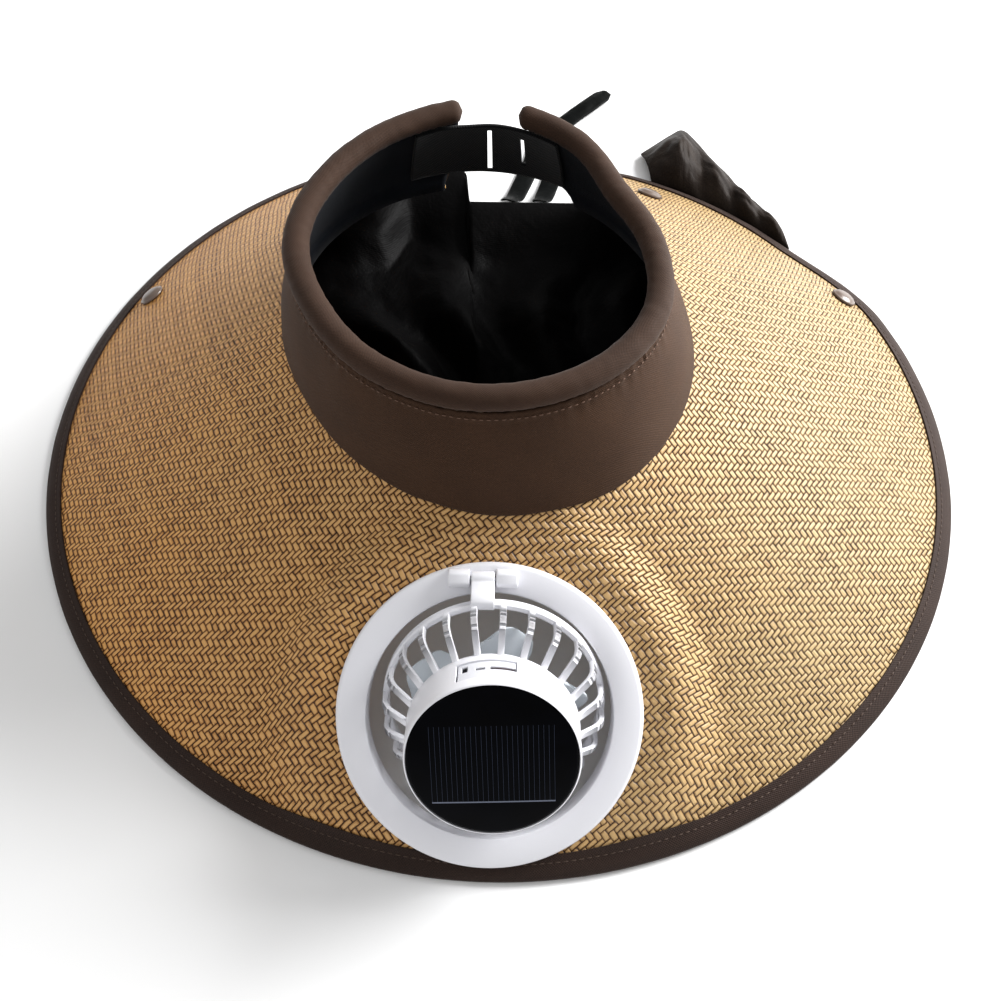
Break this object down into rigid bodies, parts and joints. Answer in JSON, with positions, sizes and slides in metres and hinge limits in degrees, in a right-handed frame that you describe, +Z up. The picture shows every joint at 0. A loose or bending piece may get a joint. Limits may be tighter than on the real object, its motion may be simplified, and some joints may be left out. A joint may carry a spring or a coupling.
{
  "type": "solar fan hat",
  "caption": "Wide straw sun visor with an open top and back, a padded headband, a tilting fan with a round solar panel in its brim, and a folded neck veil under the back.",
  "frame": {"origin": "under the middle of the hat's box, on the surface that the hat rests on", "axes": "+Z up, the front of the brim with the fan faces -Y, the open back faces +Y"},
  "size_m": [0.4202, 0.4732, 0.1398],
  "materials": {
    "straw": "twill-woven natural straw",
    "binding": "dark brown stitched tape",
    "band": "brown woven cotton",
    "roll": "padded brown cotton",
    "lining": "dark navy lining",
    "strap": "black hook-and-loop strap",
    "button": "domed brown snap",
    "satin": "thin dark brown satin",
    "plastic": "white moulded",
    "pin": "drawn",
    "panel": "black solar cells under clear resin",
    "motor": "plated can",
    "blade": "translucent grey"
  },
  "bodies": {
    "hat": {"brim": "straw", "brim_binding": "binding", "headband": "band", "headband_roll": "roll", "band_lining": "lining", "closure_strap": "strap", "snap_button_left": "button", "snap_button_back_left": "button", "snap_button_back_right": "button", "snap_button_right": "button", "veil": "satin", "veil_corner": "satin", "tie_left": "satin", "tie_right": "satin", "fan_ring": "plastic", "fan_clamp_ring": "plastic", "hinge_pin": "pin"},
    "fan_head": {"fan_basket": "plastic", "switch_cover": "plastic", "solar_panel": "panel", "fan_motor": "motor"},
    "blades": {"fan_blades": "blade"}
  },
  "joints": [
    {"name": "fan_tilt", "type": "hinge", "parent": "hat", "child": "fan_head", "pos_m": [-0.00531, -0.14665, 0.07597], "axis": [1, 0, 0], "range_deg": [-45, 6]},
    {"name": "fan_spin", "type": "hinge", "parent": "fan_head", "child": "blades", "pos_m": [-0.00061, -0.1838, 0.04244], "axis": [0, -0.8487, 0.5289], "continuous": true}
  ]
}
